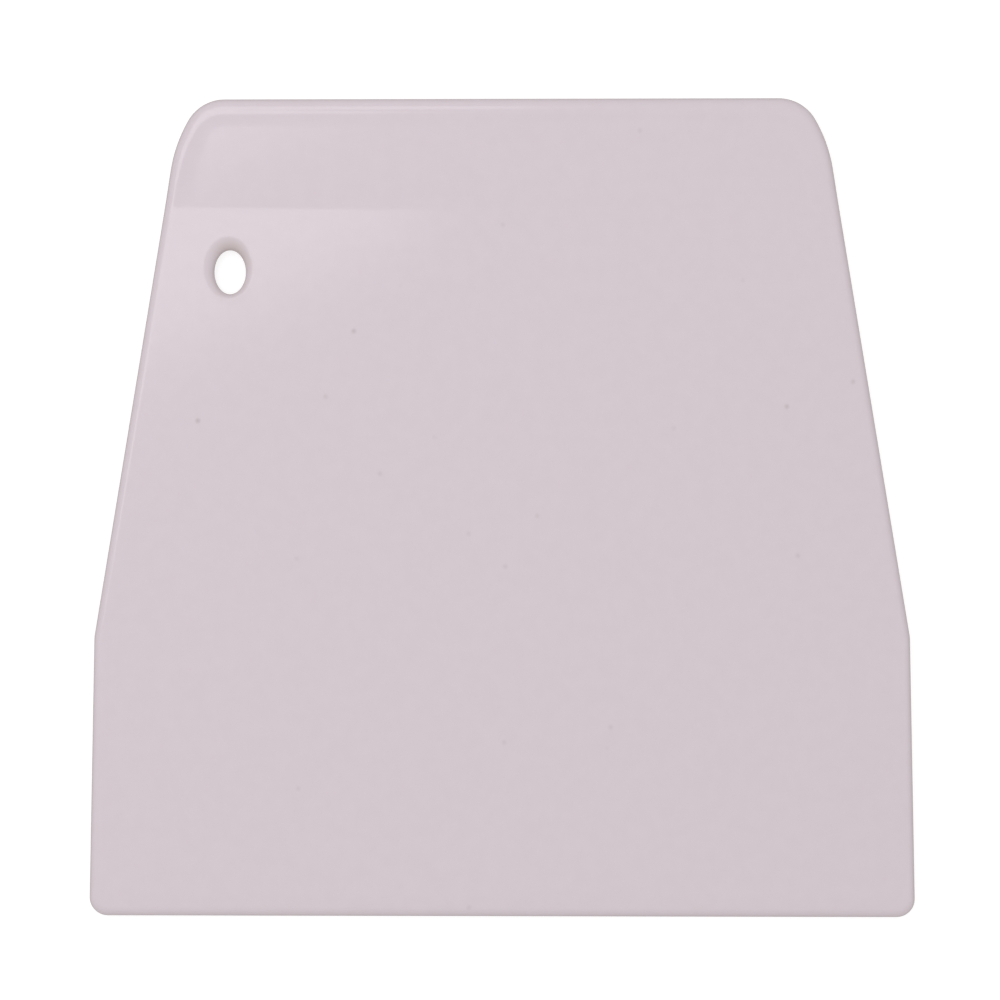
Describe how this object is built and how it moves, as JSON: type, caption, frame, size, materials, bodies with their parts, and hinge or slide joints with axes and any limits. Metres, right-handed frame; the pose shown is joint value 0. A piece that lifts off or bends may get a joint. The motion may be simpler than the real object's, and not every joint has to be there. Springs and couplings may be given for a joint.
{
  "type": "bench scraper",
  "caption": "One-piece plastic bench scraper: a trapezoidal plate with a tapered blade edge, a thicker beaded grip band and an oval hanging hole.",
  "frame": {"origin": "middle of the outline's bounding box, on the plane of the flat back, which is what the scraper rests on", "axes": "+X along the blade edge, +Y from the blade edge to the grip, +Z out of the front face"},
  "size_m": [0.12, 0.1188, 0.0032],
  "materials": {
    "white_plastic": "semi-gloss moulded white polypropylene"
  },
  "bodies": {
    "root": {"scraper": "white_plastic"}
  },
  "joints": []
}
